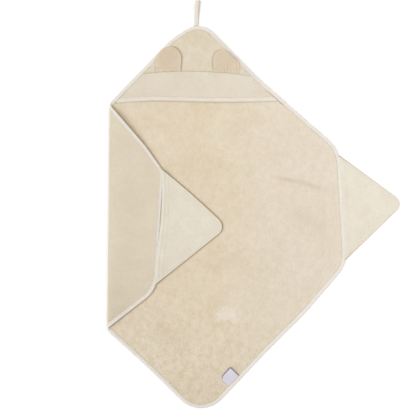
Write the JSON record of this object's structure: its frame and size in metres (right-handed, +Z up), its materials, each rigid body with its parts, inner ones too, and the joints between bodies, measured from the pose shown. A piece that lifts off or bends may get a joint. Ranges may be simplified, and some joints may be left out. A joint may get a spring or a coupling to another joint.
{
  "type": "baby bath cape",
  "caption": "Hooded baby bath cape laid flat: a bound terry square with an eared, muslin-banded hood, muslin hand gloves at its side corners, a folded-over corner, a hanging loop and a label.",
  "frame": {"origin": "middle of the underside of the whole cape's box, as it lies flat", "axes": "+Z up through the cloth to the face with the pile, +Y towards the hood's tip and its hanging loop, +X towards the corner whose glove lies flat"},
  "size_m": [0.7716, 1.07, 0.0229],
  "materials": {
    "terry": "looped towelling, matt",
    "muslin": "plain weave, matt",
    "binding": "plain weave folded strip, matt",
    "ear_cloth": "plain weave, matt",
    "tape": "woven tape, matt",
    "label": "smooth woven label"
  },
  "bodies": {
    "root": {"binding_hood": "binding", "binding_left_end": "binding", "binding_lower_left": "binding", "binding_lower_right": "binding", "binding_right_end": "binding", "binding_upper_left": "binding", "binding_upper_right": "binding", "body": "terry", "ear_left": "ear_cloth", "ear_right": "ear_cloth", "glove_left_back": "muslin", "glove_left_front": "muslin", "glove_right_back": "muslin", "glove_right_front": "muslin", "hanging_loop": "tape", "hood_band": "muslin", "hood_hem_binding": "binding", "hood_tip": "terry", "label": "label"}
  },
  "joints": []
}
